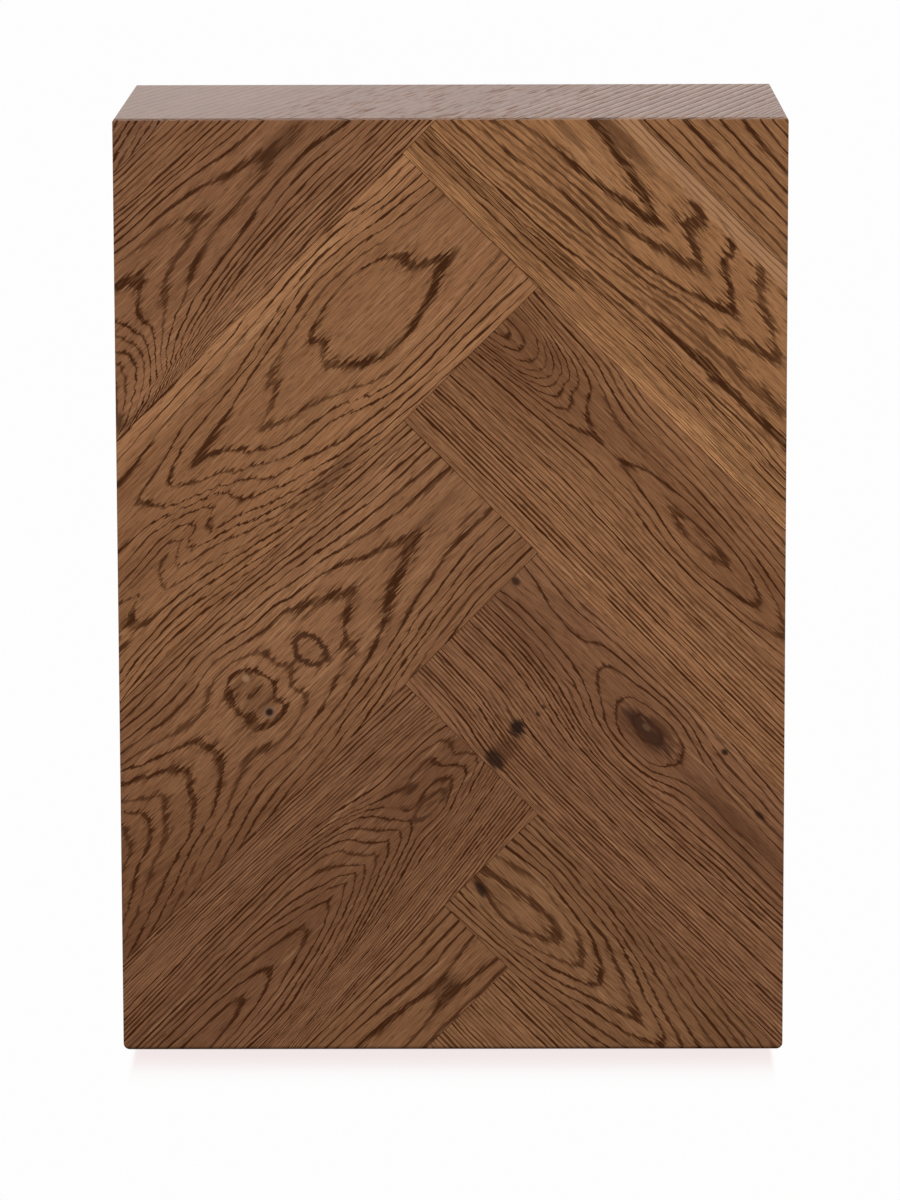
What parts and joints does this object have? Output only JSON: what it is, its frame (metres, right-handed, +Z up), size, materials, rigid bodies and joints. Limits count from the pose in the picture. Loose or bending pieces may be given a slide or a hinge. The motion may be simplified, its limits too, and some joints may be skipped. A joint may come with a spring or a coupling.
{
  "type": "parquet block",
  "caption": "Free-standing upright rectangular block with a herringbone oak stave front and plain oak panels, used as a plinth, stand or display block.",
  "frame": {"origin": "centre of the base, on the floor that the block stands on", "axes": "+Z up along the block's height, +X to the right as seen from the front, +Y from the herringbone front to the back"},
  "size_m": [0.425, 0.26, 0.6],
  "materials": {
    "oak_stave": "brown-stained brushed oak with open dark grain, matt oil",
    "oak_panel": "brown-stained oak, matt oil with a sheen at low angles",
    "oak_board": "plain stained oak-faced board"
  },
  "bodies": {
    "root": {"head_stave_left_2": "oak_stave", "head_stave_left_1": "oak_stave", "stave_left_1": "oak_stave", "stave_left_2": "oak_stave", "stave_left_3": "oak_stave", "stave_left_4": "oak_stave", "head_stave_right_2": "oak_stave", "head_stave_right_1": "oak_stave", "stave_right_1": "oak_stave", "stave_right_2": "oak_stave", "stave_right_3": "oak_stave", "stave_right_4": "oak_stave", "top_panel": "oak_panel", "side_panel_left": "oak_panel", "side_panel_right": "oak_panel", "base_panel": "oak_panel", "back_panel": "oak_board", "backing_board": "oak_board"}
  },
  "joints": []
}
